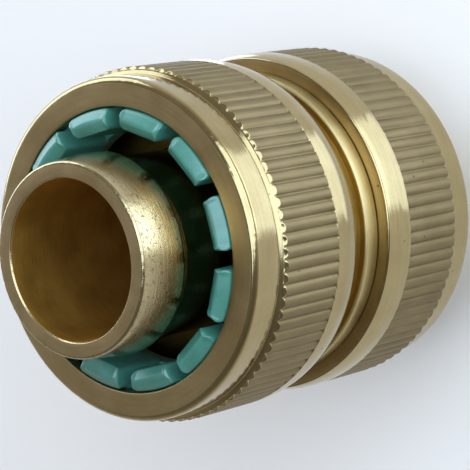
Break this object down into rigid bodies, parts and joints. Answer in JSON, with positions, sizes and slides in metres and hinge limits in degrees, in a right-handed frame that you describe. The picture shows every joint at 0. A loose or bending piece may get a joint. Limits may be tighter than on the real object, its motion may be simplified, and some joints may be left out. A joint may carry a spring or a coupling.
{
  "type": "hose mender",
  "caption": "Straight hose mender: a barbed tube with a knurled union nut and a slotted collet at each end, to join two lengths of hose.",
  "frame": {"origin": "centre of the lower mouth's rim, which the part stands on", "axes": "+Z along the water way, from the lower mouth to the upper one"},
  "size_m": [0.027, 0.027, 0.0405],
  "materials": {
    "turned_brass": "fine turned brass, lightly pitted",
    "knurled_brass": "turned brass with a matt end face and a straight knurl",
    "green_plastic": "smooth moulded plastic with a satin sheen"
  },
  "bodies": {
    "root": {"body": "turned_brass"},
    "upper_collet": {"collet_upper": "green_plastic"},
    "upper_nut": {"nut_upper": "knurled_brass"},
    "lower_collet": {"collet_lower": "green_plastic"},
    "lower_nut": {"nut_lower": "knurled_brass"}
  },
  "joints": [
    {"name": "upper_collet_slide", "type": "slide", "parent": "root", "child": "upper_collet", "axis": [0, 0, 1], "range_m": [-0.00226, 0.00256]},
    {"name": "upper_nut_screw", "type": "hinge", "parent": "upper_collet", "child": "upper_nut", "pos_m": [0, 0, 0.0292], "axis": [0, 0, 1], "range_deg": [-540, 612]},
    {"name": "lower_collet_slide", "type": "slide", "parent": "root", "child": "lower_collet", "axis": [0, 0, 1], "range_m": [-0.00481, 0.00001]},
    {"name": "lower_nut_screw", "type": "hinge", "parent": "lower_collet", "child": "lower_nut", "pos_m": [0, 0, 0.01358], "axis": [0, 0, 1], "range_deg": [-1152, 0]}
  ],
  "couplings": [
    {"joint": "upper_collet_slide", "follows": "upper_nut_screw", "m_per_rad": 0.00023873},
    {"joint": "lower_collet_slide", "follows": "lower_nut_screw", "m_per_rad": 0.00023873}
  ]
}
